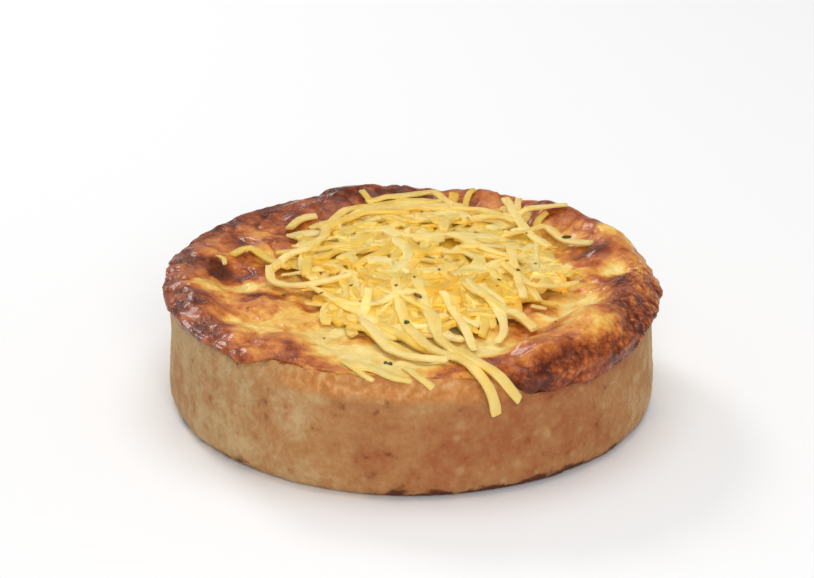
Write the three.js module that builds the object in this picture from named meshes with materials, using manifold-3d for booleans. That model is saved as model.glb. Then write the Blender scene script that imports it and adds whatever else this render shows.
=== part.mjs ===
// A single-portion quiche: a shortcrust pastry case, a baked custard filling with a puffed and browned top,
// and a loose heap of grated cheese, from which two shreds hang over the front of the rim.
// Millimetres, +Z up. The origin is the centre of the base, and the front of the quiche faces -Y.
import * as THREE from "three";
import { mergeVertices } from "three/addons/utils/BufferGeometryUtils.js";
import Module from "manifold-3d";

const wasm = await Module();
wasm.setup();

// Pastry case
const CASE_RADIUS = 57.5;
const FOOT_RADIUS = 54.4;
const WALL = 4.6;
const FLOOR = 4;
const RIM_HEIGHT = 29;
const RIM_DIP = 1.6;
const CASE_SEGMENTS = 90;

// Custard filling
const GAP = 0.3;
const CUSTARD_LEVEL = 28.2;
const EDGE_RISE = 0.9;
const EDGE_ROLL = 5;
const RIDGE_HEIGHT = 2.9;
const RIDGE_RADIUS = 50.5;
const RIDGE_WIDTH = 6.5;
// How far the custard laps over the rim: past the wall, or at the front onto its top.
const OVERHANG = 1.2;
const LAP = 1.9;
const DRIP = 1.2;
const LONG_DRIP = 3.4;
const CUSTARD_SEGMENTS = 90;
const CUSTARD_RINGS = 13;
// Puffs of the baked top: x, y, radius and height. A negative height is a sunken pool.
const PUFFS = [
  [-49, 15, 7, 1.6],
  [-38, 34, 7, 1.4],
  [-16, 46, 7, 1.2],
  [4, 47, 6, -1.0],
  [-33, 22, 6, 2.4],
  [-45, 5, 7, -3.6],
  [-51, -9, 6, 1.2],
  [-42, -24, 6, -1.3],
  [-34, -14, 6.5, 2.3],
  [-28, -36, 7, 1.7],
  [-19, -27, 5, -1.1],
  [-11, -35, 6, 1.4],
  [41, -31, 10, 3.0],
  [28, -45, 6.5, 2.4],
  [28, -17, 5, 2.1],
  [37, -15, 6, -2.0],
  [42, 10, 7, 2.6],
  [49, -14, 6, 1.3],
  [50, 19, 6, 1.5],
  [49, 4, 4, -2.4],
  [54, -2, 5, 1.1],
  [33, 33, 7, 2.2],
  [43, 28, 5, -1.4],
  [18, -27, 5, 1.5],
  [6, -38, 7, -1.0],
  [15, -48, 4, 0.9],
];

// Grated cheese
const HEAP_CENTRE = [4, 9];
const HEAP_RADII = [34, 37];
const HEAP_HEIGHT = 8.5;
// The solid core reaches this share of the heap's height, and its foot is below the custard's surface.
const CORE_SHARE = 0.8;
const CORE_FOOT = CUSTARD_LEVEL - 3;
const CORE_RINGS = 5;
const CORE_SEGMENTS = 26;
const SHRED_WIDTH = 2.6;
const SHRED_THICKNESS = 1.3;
const SHRED_STEPS = 4;
const HANGING_STEPS = 10;
const SCATTERED = 30;
const SEED = 20873;
// Shreds that stand out: x, y and height above the heap or custard, at each point of the middle line.
const DISTINCT = [
  [[-43, 14, 0.1], [-39.5, 17.5, 0.9], [-35.5, 13, 1.1], [-29, 4, 0.8]],
  [[-34, 3, 0.2], [-30, 10, 0.5], [-25, 11, 0.9], [-21, 20, 0.6], [-22, 31, 1.1]],
  [[-34, 5, 1], [-32.5, -2, 0.3], [-25, -6, 0.3], [-14, -7, 0]],
  [[-30, 31, 0.6], [-26, 37, 1.1], [-14, 29, 0]],
  [[-20, 27, 1.0], [-12, 36, 1.4], [-2, 40, 1.6], [10, 43, 1.8]],
  [[-12, 45, 0.5], [-9, 41, 0.8], [-3, 31, 0.7]],
  [[-8, 32, 1.0], [2, 41, 1.2], [9, 43, 1.0], [15, 32, 0.9]],
  [[23, 40, 1.2], [25.5, 29, 0.8], [28, 21, 0.6], [33, 15, 0.3]],
  [[14, 25, 0.6], [28, 31, 0.7], [38, 32, 1.5]],
  [[23, 16, 0.4], [32, 26, 0.9], [36, 22, 0.4], [43, 14, 0.5]],
  [[21, -2, 0.6], [27, -9, 0.3], [34, -7, 0.3], [39, -3, 0.4]],
  [[23, 8, 0.9], [24.5, -6, 0.6], [26, -18, 0.3]],
  [[13, -12, 0.5], [19.5, -22, 0.3], [21, -31, 0.3], [19.4, -37, 0.3]],
  [[12, -14, 0.7], [20, -21, 0.9], [25, -26, 0.4], [28, -32, 0.3]],
  [[7, -18, 0.4], [12, -31, 0.3], [14, -41, 0.3]],
  [[-10, -14, 0.4], [-11, -28, 0.6], [-4, -43, 0.8], [8, -49, 1]],
];
// Shreds that run over the rim: points on top as above, then points in the air as x, y, z.
const HANGING = [
  {
    on: [[-4, -11, 0.1], [-2, -25, 0.6], [3, -38, 0.9], [8.5, -45, 1], [13, -51.5, 1.3]],
    over: [[16.3, -56.1, 28.7], [18, -56.5, 25], [18.8, -56.1, 20.8]],
  },
  {
    on: [[1, -11, 0.1], [4, -26, 0.6], [9, -41, 0.7], [14.5, -49.5, 1.1]],
    over: [[18.8, -54.8, 30.2], [21.4, -55.5, 27.4], [23.9, -54.4, 23.6]],
  },
];

const DEGREE = Math.PI / 180;
const { lerp, smoothstep } = THREE.MathUtils;

// 1 between two angles in degrees, fading to 0 over the softness outside them.
function span(angle, from, to, soft) {
  const middle = ((from + to) / 2) * DEGREE;
  const apart = Math.abs(Math.atan2(Math.sin(angle - middle), Math.cos(angle - middle))) / DEGREE;
  return 1 - smoothstep(apart, (to - from) / 2, (to - from) / 2 + soft);
}

// A smooth wander between -1 and 1 that closes on itself round the quiche.
function wander(angle, ...waves) {
  return waves.reduce((sum, n, i) => sum + Math.sin(n * angle + 1.7 * n + i), 0) / waves.length;
}

function bell(t) {
  return Math.exp(-t * t);
}

// The same draws on every run.
function drawsFrom(seed) {
  let state = seed;
  return () => {
    state = (state * 16807) % 2147483647;
    return state / 2147483647;
  };
}

function solidOf(geometry) {
  const bare = geometry.clone().deleteAttribute("normal").deleteAttribute("uv");
  const merged = mergeVertices(bare, 1e-4);
  return new wasm.Manifold(
    new wasm.Mesh({
      numProp: 3,
      vertProperties: merged.getAttribute("position").array,
      triVerts: new Uint32Array(merged.index.array),
    }),
  );
}

function geometryOf(solid) {
  const mesh = solid.getMesh();
  const geometry = new THREE.BufferGeometry();
  geometry.setAttribute("position", new THREE.BufferAttribute(mesh.vertProperties, 3));
  geometry.setIndex(new THREE.BufferAttribute(mesh.triVerts, 1));
  geometry.computeVertexNormals();
  return geometry;
}

// A body turned about a vertical axis whose outline, from the axis to the axis, changes with the angle.
function turned(outlineAt, segments, centre = [0, 0]) {
  const start = outlineAt(0).map(([r, z]) => new THREE.Vector2(r, z));
  const lathe = new THREE.LatheGeometry(start, segments);
  const place = lathe.getAttribute("position");
  for (let turn = 0; turn <= segments; turn++) {
    const angle = ((turn % segments) / segments) * 2 * Math.PI;
    outlineAt(angle).forEach(([r, z], step) => {
      const x = centre[0] + r * Math.cos(angle);
      const y = centre[1] + r * Math.sin(angle);
      place.setXYZ(turn * start.length + step, x, y, z);
    });
  }
  return solidOf(lathe);
}

function rimHeight(angle) {
  return RIM_HEIGHT - RIM_DIP * span(angle, -60, 20, 35) + 0.3 * wander(angle, 5, 9, 14);
}

// The rim slopes most at the front, where it shows.
function shoulderDrop(angle) {
  return 1 + 2.8 * span(angle, -118, -70, 22) + 0.25 * wander(angle, 11, 17);
}

function wallWander(angle) {
  return 0.35 * wander(angle, 2, 3, 5) + 0.12 * wander(angle, 13, 19);
}

// 1 where the custard hangs over the rim, 0 at the front where it stops on top of it.
function coverage(angle) {
  return 1 - span(angle, -124, -70, 8);
}

function dripLength(angle) {
  const long = LONG_DRIP * span(angle, -64, -46, 28) * (1 + 0.25 * wander(angle, 9, 16, 27));
  return coverage(angle) * (DRIP + long + 0.55 * wander(angle, 7, 12, 21));
}

function capRadius(angle) {
  const inside = CASE_RADIUS - WALL + LAP;
  const outside = CASE_RADIUS + wallWander(angle) + GAP + OVERHANG + 0.3 * wander(angle, 6, 15, 23);
  return lerp(inside, outside, coverage(angle));
}

function caseOutline(angle, grow = 0) {
  const rim = rimHeight(angle);
  const drop = shoulderDrop(angle);
  const crumble = 0.35 * wander(angle, 16, 22, 29);
  const wall = [
    [FOOT_RADIUS, 0],
    [CASE_RADIUS - 1.5, 0.9 + 0.5 * crumble],
    [CASE_RADIUS - 0.4, 2.6],
    [CASE_RADIUS + 0.1 + 0.5 * crumble, 5.4],
    [CASE_RADIUS, 10],
    [CASE_RADIUS - 0.3, 15],
    [CASE_RADIUS - 0.5, 20],
    [CASE_RADIUS - 0.4, rim - drop - 2],
    [CASE_RADIUS - 0.8, rim - drop - 0.6],
    [CASE_RADIUS - 1.8, rim - 0.55 * drop],
    [CASE_RADIUS - 3, rim],
  ];
  const inner = CASE_RADIUS - WALL;
  return [
    [0, 0],
    ...wall.map(([r, z]) => [r + wallWander(angle) + grow, z ? z + grow * (z > RIM_HEIGHT - 8) : 0]),
    [inner, rim - 0.2],
    [inner, FLOOR],
    [0, FLOOR],
  ];
}

// Height of the baked top at a place, with its edge rolled down to the rim.
function custardTop(x, y) {
  const radius = Math.hypot(x, y);
  const angle = Math.atan2(y, x);
  const front = span(angle, -124, -74, 26);
  let top = CUSTARD_LEVEL + 0.9 * (radius / RIDGE_RADIUS) ** 4;
  const low = 0.7 * span(angle, 132, 160, 15) - 0.45 * span(angle, 20, 108, 15);
  const crest = RIDGE_HEIGHT * (1 - 0.82 * front) * (1 - low) * (1 + 0.2 * wander(angle, 6, 11, 17));
  top += crest * bell((radius - RIDGE_RADIUS - 0.8 * wander(angle, 4, 9)) / RIDGE_WIDTH);
  for (const [px, py, size, height] of PUFFS) {
    top += height * bell(Math.hypot(x - px, y - py) / size);
  }
  top += 0.28 * Math.sin(0.62 * x + 1.1 * Math.sin(0.33 * y)) * Math.sin(0.71 * y + 0.9 * Math.sin(0.29 * x));
  const edge = Math.min(1, Math.max(0, (capRadius(angle) - radius) / EDGE_ROLL));
  return lerp(rimHeight(angle) + EDGE_RISE, top, Math.sin((edge * Math.PI) / 2));
}

function custardOutline(angle, grow = 0) {
  const rim = rimHeight(angle);
  const cover = coverage(angle);
  const inner = CASE_RADIUS - WALL - GAP;
  const cap = capRadius(angle) + grow;
  const under = lerp(CASE_RADIUS - WALL + LAP - 0.8, CASE_RADIUS + wallWander(angle) + GAP, cover);
  const lip = rim + GAP + 0.08 * (1 - cover) - dripLength(angle) - grow * cover;
  const shoulder = rim + EDGE_RISE + grow;
  const rings = [];
  for (let ring = 0; ring < CUSTARD_RINGS; ring++) {
    const radius = (cap - 0.7) * (1 - (ring / CUSTARD_RINGS) ** 1.5);
    const top = custardTop(radius * Math.cos(angle), radius * Math.sin(angle));
    rings.push([radius, Math.max(top + grow, shoulder + 0.05)]);
  }
  return [
    [0, FLOOR + GAP],
    [inner, FLOOR + GAP],
    [inner, rim + GAP],
    [under, rim + GAP],
    [under + 0.05, lip],
    [cap - 0.25, lip + 0.12],
    [cap, lerp(lip, shoulder, 0.45)],
    [cap - 0.1, shoulder],
    ...rings,
    [0, custardTop(0, 0) + grow],
  ];
}

// How far the heap stands above the custard at a place.
function heapRise(x, y) {
  const across = (x - HEAP_CENTRE[0]) / HEAP_RADII[0];
  const along = (y - HEAP_CENTRE[1]) / HEAP_RADII[1];
  const angle = Math.atan2(along, across);
  const reach = Math.hypot(across, along) / (1 + 0.1 * wander(angle, 3, 5));
  return reach < 1 ? HEAP_HEIGHT * (1 - reach * reach) ** 0.7 : 0;
}

function coreOutline(angle) {
  const outline = [[0, CORE_FOOT]];
  const radius = 0.9 * Math.min(...HEAP_RADII) * (1 + 0.08 * wander(angle, 3, 5));
  for (let ring = 0; ring < CORE_RINGS; ring++) {
    const r = radius * (1 - (ring / CORE_RINGS) ** 1.4);
    const x = HEAP_CENTRE[0] + r * Math.cos(angle);
    const y = HEAP_CENTRE[1] + r * Math.sin(angle);
    const lump = 0.4 * Math.sin(0.9 * x) * Math.sin(0.8 * y + 1);
    if (ring === 0) outline.push([r, CORE_FOOT]);
    outline.push([r, custardTop(x, y) + CORE_SHARE * heapRise(x, y) + lump]);
  }
  const [cx, cy] = HEAP_CENTRE;
  outline.push([0, custardTop(cx, cy) + CORE_SHARE * HEAP_HEIGHT]);
  return outline;
}

// A grated shred: a thin box bent along a curve, flat side up where it lies and outwards where it hangs.
function shred(points, width, thickness, steps = SHRED_STEPS) {
  const path = new THREE.CatmullRomCurve3(points.map((p) => new THREE.Vector3(...p)));
  const box = new THREE.BoxGeometry(1, width, thickness, steps, 1, 1);
  const place = box.getAttribute("position");
  for (let i = 0; i < place.count; i++) {
    const t = place.getX(i) + 0.5;
    const centre = path.getPointAt(t);
    const tangent = path.getTangentAt(t);
    const outward = new THREE.Vector3(centre.x, centre.y, 0).normalize();
    const facing = new THREE.Vector3(0, 0, 1).addScaledVector(outward, smoothstep(-tangent.z, 0.3, 0.8));
    const side = new THREE.Vector3().crossVectors(facing, tangent).normalize();
    const face = new THREE.Vector3().crossVectors(tangent, side);
    const taper = 1 - 0.35 * smoothstep(Math.abs(t - 0.5), 0.38, 0.5);
    centre.addScaledVector(side, place.getY(i) * taper).addScaledVector(face, place.getZ(i));
    place.setXYZ(i, ...centre);
  }
  return solidOf(box);
}

// The middle of a shred that rests on the heap's core, or on the custard outside it, lifted by some height.
function resting([x, y, lift]) {
  return [x, y, custardTop(x, y) + CORE_SHARE * heapRise(x, y) + SHRED_THICKNESS / 2 + lift];
}

// The middle line of a shred that fell anywhere on the heap.
function fallenShred(draw) {
  const spread = 0.94 * Math.sqrt(draw());
  const around = 2 * Math.PI * draw();
  const middle = [
    HEAP_CENTRE[0] + HEAP_RADII[0] * spread * Math.cos(around),
    HEAP_CENTRE[1] + HEAP_RADII[1] * spread * Math.sin(around),
  ];
  const length = lerp(13, 28, draw());
  const heading = Math.PI * draw();
  const bend = lerp(-1.3, 1.3, draw());
  const level = lerp(0.66, 0.88, draw());
  const lift = lerp(0, 0.8, draw());
  const knots = 5;
  const points = [];
  for (let k = 0; k < knots; k++) {
    const t = k / (knots - 1) - 0.5;
    const turn = heading + (bend * t) / 2;
    const x = middle[0] + length * t * Math.cos(turn);
    const y = middle[1] + length * t * Math.sin(turn);
    const z = custardTop(x, y) + heapRise(x, y) * level + lift * (0.4 + 2 * t * t);
    points.push([x, y, z + SHRED_THICKNESS / 2]);
  }
  return points;
}

function heapSolid(clearance) {
  const draw = drawsFrom(SEED);
  const shreds = DISTINCT.map((points) => shred(points.map(resting), SHRED_WIDTH, SHRED_THICKNESS));
  for (const { on, over } of HANGING) {
    shreds.push(shred([...on.map(resting), ...over], SHRED_WIDTH, SHRED_THICKNESS, HANGING_STEPS));
  }
  for (let i = 0; i < SCATTERED; i++) {
    const points = fallenShred(draw);
    const width = SHRED_WIDTH * lerp(0.85, 1.12, draw());
    shreds.push(shred(points, width, SHRED_THICKNESS * lerp(0.85, 1.1, draw())));
  }
  const core = turned(coreOutline, CORE_SEGMENTS, HEAP_CENTRE);
  const joined = wasm.Manifold.union([core, ...shreds]).subtract(clearance);
  return joined.decompose().sort((a, b) => b.volume() - a.volume())[0];
}

function part(name, solid, color, roughness) {
  const material = new THREE.MeshStandardMaterial({ color, roughness, metalness: 0 });
  const mesh = new THREE.Mesh(geometryOf(solid), material);
  mesh.name = name;
  return mesh;
}

const pastryCase = turned(caseOutline, CASE_SEGMENTS);
const filling = turned(custardOutline, CUSTARD_SEGMENTS);
const clearance = turned((angle) => caseOutline(angle, GAP), CASE_SEGMENTS).add(
  turned((angle) => custardOutline(angle, GAP), CUSTARD_SEGMENTS),
);

const quiche = new THREE.Group();
quiche.add(part("pastry_case", pastryCase, "#c08a55", 0.75));
quiche.add(part("custard_filling", filling, "#c9803f", 0.45));
quiche.add(part("grated_cheese", heapSolid(clearance), "#ecd583", 0.5));

export default quiche;
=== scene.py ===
# Looks for a single-portion quiche: shortcrust case, baked custard filling and a heap of grated cheese.
# Forms are worked out in millimetres, like the model's source, and become metres as each mesh is made.
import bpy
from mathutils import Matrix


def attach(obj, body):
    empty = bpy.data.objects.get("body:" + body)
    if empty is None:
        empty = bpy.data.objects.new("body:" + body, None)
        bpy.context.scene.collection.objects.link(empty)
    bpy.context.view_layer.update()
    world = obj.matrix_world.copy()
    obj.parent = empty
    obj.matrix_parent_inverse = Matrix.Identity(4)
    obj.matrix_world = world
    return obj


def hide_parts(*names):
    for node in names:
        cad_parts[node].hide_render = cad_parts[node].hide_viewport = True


bl_info = {
    "name": "Baked quiche with grated cheese",
    "version": (1, 0, 0),
    "blender": (4, 5, 0),
    "location": "3D View > Sidebar > Quiche",
    "description": "Builds and finishes the pastry case, the browned custard and the grated cheese",
    "category": "Object",
}

import math

import bpy
import numpy as np
from mathutils import Vector

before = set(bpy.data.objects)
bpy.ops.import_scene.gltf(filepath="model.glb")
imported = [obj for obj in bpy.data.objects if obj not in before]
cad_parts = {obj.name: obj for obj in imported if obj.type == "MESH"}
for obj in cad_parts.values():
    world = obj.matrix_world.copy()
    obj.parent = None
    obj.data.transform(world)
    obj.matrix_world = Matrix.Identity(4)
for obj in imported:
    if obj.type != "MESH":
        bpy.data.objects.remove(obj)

MM = 0.001
BODY = "root"

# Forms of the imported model, in millimetres
CASE_RADIUS = 57.5
FOOT_RADIUS = 54.4
WALL = 4.6
FLOOR = 4
RIM_HEIGHT = 29
RIM_DIP = 1.6
GAP = 0.3
CUSTARD_LEVEL = 28.2
EDGE_RISE = 0.9
EDGE_ROLL = 5
RIDGE_HEIGHT = 2.9
RIDGE_RADIUS = 50.5
RIDGE_WIDTH = 6.5
OVERHANG = 1.2
LAP = 1.9
DRIP = 1.2
LONG_DRIP = 3.4
HEAP_CENTRE = (4, 9)
HEAP_RADII = (34, 37)
HEAP_HEIGHT = 8.5

# The core's share of the heap's height, and its steps around
CORE_SHARE = 0.7
CORE_TURNS = 150
# This share of the shreds falls on a bed of their own at the front
BED_CENTRE = (-1, -18)
BED_RADII = (22, 13)
BED_SHARE = 0.3
# A shred that reaches further to the front than this y keeps to the right of this x, about
FRONT_PART = -5
HEAP_LEFT = -24.5
# Points in the middle line of a fallen shred
SHRED_KNOTS = 9
# How far a fallen shred stands over the custard at least, and a speck over what it lies on
LEAST_LIFT = 0.75
SPECK_LIFT = 0.1

# The top may sink this far under its level: fully inside the first radius, and not past the second
POOL_DEPTH = 3
SINKING_STOPS = (47, 52.5)
# Share of the ridge that is missing at the front
FRONT_DIP = 0.82
# Spacing of the wall's points, and of the top's rings outside and inside the radius the cheese hides
WALL_STEP = 0.6
HIDDEN_RADIUS = 24
FINE_STEP = 0.48
COARSE_STEP = 2.5
FLOOR_HALF = 2000

# Puffs of the baked top: x, y, radius and height. A negative height is a sunken pool.
PUFFS = [
    (-49, 15, 7, 1.6), (-38, 34, 7, 0.7), (-16, 46, 7, 1.2), (4, 47, 6, -1.0),
    (-33, 22, 6, 2.4), (-45, 5, 7, -2.8), (-51, -9, 6, 1.2), (-42, -24, 6, -1.3),
    (-34, -14, 6.5, 2.3), (-28, -36, 7, 1.7), (-19, -27, 5, -1.1), (-11, -35, 6, 1.4),
    (41, -31, 10, 3.0), (28, -45, 6.5, 2.4), (28, -17, 5, 2.1), (37, -15, 6, -2.0),
    (42, 10, 7, 2.6), (49, -14, 6, 1.3), (50, 19, 6, 1.5), (49, 4, 4, -2.4),
    (54, -2, 5, 1.1), (33, 33, 7, 2.2), (43, 28, 5, -0.1), (18, -27, 5, 1.5),
    (6, -38, 7, -1.0), (15, -48, 4, 0.9),
]

# Where the oven browned the top more, or left it paler: x, y, radius and how much. One entry is painted
# light, paler against the shade the heap casts on the front.
BROWNED = [
    (-53, 10, 5, 0.12), (-46, 8, 4, 0.42), (-38, 8, 4.5, 0.6), (-31, 12, 4, 0.35),
    (-30, 22, 4, 0.32), (-33, 37, 7, 0.2), (-42, 25, 3.5, 0.3), (-36, 28, 3.5, -0.22),
    (-27, 29, 6, 0.2), (-50, -5, 4, -0.26), (-40, 1, 4, -0.34), (-44, -10, 5, -0.26),
    (-39, -8, 4.5, 0.44), (-33.5, -9, 4.5, 0.42), (-25, -14, 3, 0.2), (-51, -18, 4, 0.2),
    (-43, -29, 4, 0.12), (-48, -30, 4, 0.14), (-40, -24, 4.5, -0.3), (-35, -30, 5, -0.34),
    (-28, -37, 4, 0.26), (-36, -42, 5, -0.14), (-11, -34, 4, 0.34), (-19, -34, 4, -0.1),
    (-3, -41, 9, -0.2), (-5, -49, 7, -0.28), (3, -38, 8, -0.15), (2, 51, 8, 0.14),
    (24, 45, 6, -0.1), (35, 37, 4, 0.25), (43, 27, 4, 0.16), (49, 23, 4, -0.36),
    (42, 11, 5, 0.38), (49, 4, 3.5, -0.4), (54, 3, 4, -0.16), (51, 15, 5, -0.06),
    (45, 0, 3.5, 0.42), (48, -6, 4, 0.24), (47, -12, 5, 0.16), (50, -16, 5, 0.12),
    (39, -13, 6.5, -0.38), (31, -13, 3, 0.26), (28, -17, 4, 0.34), (32, -22, 4, -0.26),
    (32, -31, 3.5, 0.3), (36, -33, 7, -0.26), (44, -34, 6, -0.14), (35, -41, 4, 0.12),
    (39, -50, 4, -0.1), (26, -44, 4, -0.1), (54, -14, 5, -0.14), (21, -54, 4, 0.36),
    (30, -54, 4, 0.28), (16, -29, 3.5, 0.34), (23, -31, 3.5, 0.16), (18, -46, 3, 0.3),
    # (10, -36) is painted light: paler to offset the shade that the heap casts on the front custard
    (20, -38, 4, -0.2), (10, -36, 8, -0.12),
]

# How brown the edge of the top is, every 30 degrees from the left, round by the front
EDGE_BROWNING = (0.56, 0.58, 0.5, 0.4, 0.46, 0.43, 0.38, 0.38, 0.46, 0.6, 0.64, 0.6, 0.56)

# Middle lines of the shreds that stand out, as x, y and how far each point is lifted or sunk
STANDING_OUT = [
    [(-43, 14, 0.1), (-39.5, 17.5, 0.9), (-35.5, 13, 1.1), (-29, 4, 0.8)],
    [(-34, 3, 0.2), (-30, 10, 0.5), (-25, 11, 0.9), (-21, 20, 0.6), (-22, 31, 1.1)],
    [(-34, 5, 1), (-32.5, -2, 0.3), (-25, -6, 0.3), (-14, -7, 0)],
    [(-30, 31, 0.5), (-27.5, 35.5, 0.9), (-23.5, 37.5, 0.7)],
    [(-12.5, 46.5, 0.4), (-10.5, 43, 0.5), (-8, 39, 0.3)],
    [(-16, 32, 0.3), (-8, 36.5, 0.3), (1, 38.5, 0.3), (9, 37, 0.3)],
    [(-21, 24, 0.5), (-15, 30.5, 0.6), (-8, 32.5, 0.6), (-1, 31, 0.5)],
    [(-14, 37.5, 0.4), (-5, 41, 0.5), (4, 42, 0.5), (11, 38, 0.4)],
    [(-20.5, 27, 0.6), (-18, 34, 0.9), (-13.5, 39, 0.9), (-7, 42, 0.9), (1, 44, 0.8), (8, 44.5, 0.6)],
    [(-11.5, 43, 0.5), (-5, 45, 0.7), (1, 47, 0.9), (5, 47.6, 0.9), (9, 43, 0.7), (12, 35, 0.4)],
    [(6, 41, 0.5), (12, 34, 0.6), (19, 31, 0.6), (25, 26, 0.5)],
    [(23, 40, 1.2), (25.5, 29, 0.8), (28, 21, 0.6), (33, 15, 0.3)],
    [(14, 25, 0.6), (28, 31, 0.7), (38, 32, 1.5)],
    [(23, 16, 0.4), (32, 26, 0.9), (36, 22, 0.4), (43, 14, 0.5)],
    [(21, -2, 0.6), (27, -9, 0.3), (34, -7, 0.3), (39, -3, 0.4)],
    [(23, 8, 0.9), (24.5, -6, 0.6), (26, -18, 0.3)],
    [(13, -12, 0.5), (19.5, -22, 0.3), (21, -31, 0.3), (19.4, -37, 0.3)],
    [(12, -14, 0.7), (20, -21, 0.9), (25, -26, 0.4), (28, -32, 0.3)],
    [(7, -18, 0.4), (12, -31, 0.3), (14, -41, 0.3)],
    [(-10, -14, 0.4), (-11, -28, 0.6), (-4, -43, 0.8), (8, -49, 1)],
    [(-46.8, 11, 0.2), (-45.2, 10.4, 0.8), (-44.6, 7.6, 0.3)],
    [(-24.7, 6, 0.4), (-25, 1, 0.3), (-24.8, -3.5, 0.1)],
    [(37, -1, 0.4), (38.5, 2.5, 0.9), (41, 0, 0.5)],
    [(27.5, -18.5, 0.2), (31, -20, 0.3)],
    [(-19, -14, 0.2), (-9, -19, 0.5), (1, -17, 0.2)],
    [(-4, -17, 0.3), (5, -26, 0.3), (6, -33, 0.1)],
    [(-24, -8, 0.2), (-13, -20, 0.2), (-8, -27, 0.1)],
    [(-14, -30, -1.2), (-5, -39, -1.2), (4, -45, -1.0)],
    [(-8, -27, -0.5), (0, -36, -0.8), (9, -42, -0.7), (13, -46, -0.3)],
]
# Shreds that run over the rim: points on top as above, then points in the air as x, y and z.
# The first two hang free, and the rest are short and lie on the pastry's shoulder.
HANGING = [
    (
        [(-4, -11, 0.1), (-2, -25, 0.6), (3, -38, 0.9), (8.5, -45, 1), (13, -51.5, 1.3)],
        [(16.3, -56.1, 28.7), (18, -56.5, 25), (18.8, -56.1, 20.8)],
    ),
    (
        [(1, -11, 0.1), (4, -26, 0.6), (9, -41, 0.7), (14.5, -49.5, 1.1)],
        [(18.8, -54.8, 30.2), (21.4, -55.5, 27.4), (23.9, -54.4, 23.6)],
    ),
    (
        [(-1.7, -51.2, -0.9), (0, -53.2, -0.6)],
        [(1.6, -54.7, 29.2), (3.3, -55.6, 28.3), (4.7, -56.1, 27.2)],
    ),
    ([(-15.5, -47.5, -0.9), (-12.8, -50.8, -0.7)], [(-10.2, -53.8, 29.1), (-8.4, -54.9, 28.5)]),
    ([(-12.5, -50.4, -0.8), (-8, -52.6, -0.6)], [(-3.5, -54.4, 29), (0, -54.9, 28.6)]),
]

# Specks of pepper and herb that show, as x, y and size
PEPPER = [
    (1.5, -19.5, 1.7), (6.3, -7.2, 0.7), (2.4, 35.5, 0.7), (13.7, 26.9, 0.8), (22.3, 22.8, 0.6),
    (27.7, 19.8, 0.7), (29.4, 2.2, 0.8), (20.4, -8.4, 0.7), (19.9, -10.8, 0.6), (27.8, -6.9, 0.7),
    (-0.1, -7.9, 0.7), (0.6, -11.5, 0.6), (-14.2, -10.2, 0.9), (-3.7, -14.0, 0.8), (-12.0, -17.5, 0.7),
    (-21.2, -12.4, 0.8), (24.9, -5.8, 0.8), (-20, -33, 0.6), (-38, -18, 0.6), (33, -27, 0.6),
]
HERBS = [
    (37.3, 21.4, 1.9), (-5.8, -47.3, 1.0), (-4.8, -47.9, 0.9), (-1.2, -28.0, 1.2), (33.7, 10.4, 0.9),
    (-30, -8, 0.8),
]

# The photograph's frame and how its camera stands
PHOTO_WIDTH = 814
PHOTO_HEIGHT = 578
FOCAL_PIXELS = 3353
SENSOR_WIDTH = 36
CAMERA_ELEVATION = 24.0
CAMERA_DISTANCE = 0.8
LOOKED_AT = (0, 0, 0.012)
LOOKED_AT_PIXEL = (411.9, 348.1)


def smooth(value, low, high):
    t = np.clip((value - low) / (high - low), 0, 1)
    return t * t * (3 - 2 * t)


def mix(a, b, share):
    return a + (b - a) * share


def bell(t):
    return np.exp(-t * t)


def span(angle, start, end, soft):
    """1 between two angles in degrees, fading to 0 over the softness outside them. -90 is the front."""
    middle = math.radians((start + end) / 2)
    apart = np.degrees(np.abs(np.arctan2(np.sin(angle - middle), np.cos(angle - middle))))
    return 1 - smooth(apart, (end - start) / 2, (end - start) / 2 + soft)


def wander(angle, *waves):
    """A smooth wander between -1 and 1 that closes on itself round the quiche."""
    return sum(np.sin(n * angle + 1.7 * n + i) for i, n in enumerate(waves)) / len(waves)


def lattice_noise(points, size, seed=0):
    """Smooth noise from -1 to 1 at points (n, d), with lumps about one size apart."""
    place = np.asarray(points, float) / size
    base = np.floor(place).astype(np.int64)
    part = place - base
    part = part * part * (3 - 2 * part)
    total = np.zeros(len(place))
    for corner in np.ndindex(*(2,) * place.shape[1]):
        key = np.full(len(place), seed * 7919 + 13, np.int64)
        weight = np.ones(len(place))
        for axis, step in enumerate(corner):
            key = (key ^ (base[:, axis] + step)) * 1103515245 + 12345 & 0x7FFFFFFF
            weight *= part[:, axis] if step else 1 - part[:, axis]
        total += weight * ((key >> 8 & 0xFFFF) / 32767.5 - 1)
    return total


def through(knots, places):
    """Points of a smooth line through knots, at places counted in knots from the first."""
    knots = np.asarray(knots, float)
    low = np.clip(np.floor(places).astype(int), 0, len(knots) - 2)
    shape = (-1,) + (1,) * (knots.ndim - 1)
    t = (places - low).reshape(shape)
    padded = np.concatenate([2 * knots[:1] - knots[1:2], knots, 2 * knots[-1:] - knots[-2:-1]])
    p0, p1, p2, p3 = (padded[low + i] for i in range(4))
    bend = (2 * p0 - 5 * p1 + 4 * p2 - p3) * t * t + (3 * p1 - p0 - 3 * p2 + p3) * t ** 3
    return 0.5 * (2 * p1 + (p2 - p0) * t + bend)


def evenly(knots, spacing):
    """Points of a smooth line through knots (k, 2 or 3, ...), about one spacing apart."""
    knots = np.asarray(knots, float)
    middle = knots.reshape(len(knots), knots.shape[1], -1).mean(axis=2)
    along = np.concatenate([[0], np.cumsum(np.linalg.norm(np.diff(middle, axis=0), axis=1))])
    steps = max(2, round(along[-1] / spacing))
    return through(knots, np.interp(np.linspace(0, along[-1], steps + 1), along, range(len(knots))))


def angles_round(turns):
    return np.arange(turns) * 2 * math.pi / turns


def rim_height(angle):
    return RIM_HEIGHT - RIM_DIP * span(angle, -60, 20, 35) + 0.3 * wander(angle, 5, 9, 14)


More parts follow.
